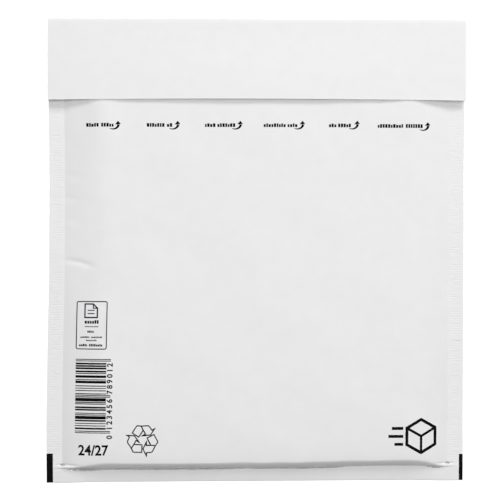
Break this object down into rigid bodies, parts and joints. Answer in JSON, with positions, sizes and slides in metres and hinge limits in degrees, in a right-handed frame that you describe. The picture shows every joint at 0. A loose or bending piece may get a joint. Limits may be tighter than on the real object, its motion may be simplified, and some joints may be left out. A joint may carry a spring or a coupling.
{
  "type": "padded envelope",
  "caption": "White paper mailing envelope with a padded bubble-film lining, empty, lying on its back with its flap folded over its mouth.",
  "frame": {"origin": "on the floor, under the middle of the envelope", "axes": "+Y from the foot to the flap's fold, +X across the front, +Z out of the front"},
  "size_m": [0.24, 0.2665, 0.0095],
  "materials": {
    "white_paper": "smooth bleached paper, slightly satin",
    "clear_film": "clear polyethylene film, glossy",
    "hot_melt": "clear amber adhesive, wet looking",
    "coated_paper": "thin white paper with a shiny release coating"
  },
  "bodies": {
    "root": {"outer_paper": "white_paper", "bubble_lining": "clear_film", "adhesive_strip": "hot_melt", "release_paper": "coated_paper"}
  },
  "joints": []
}
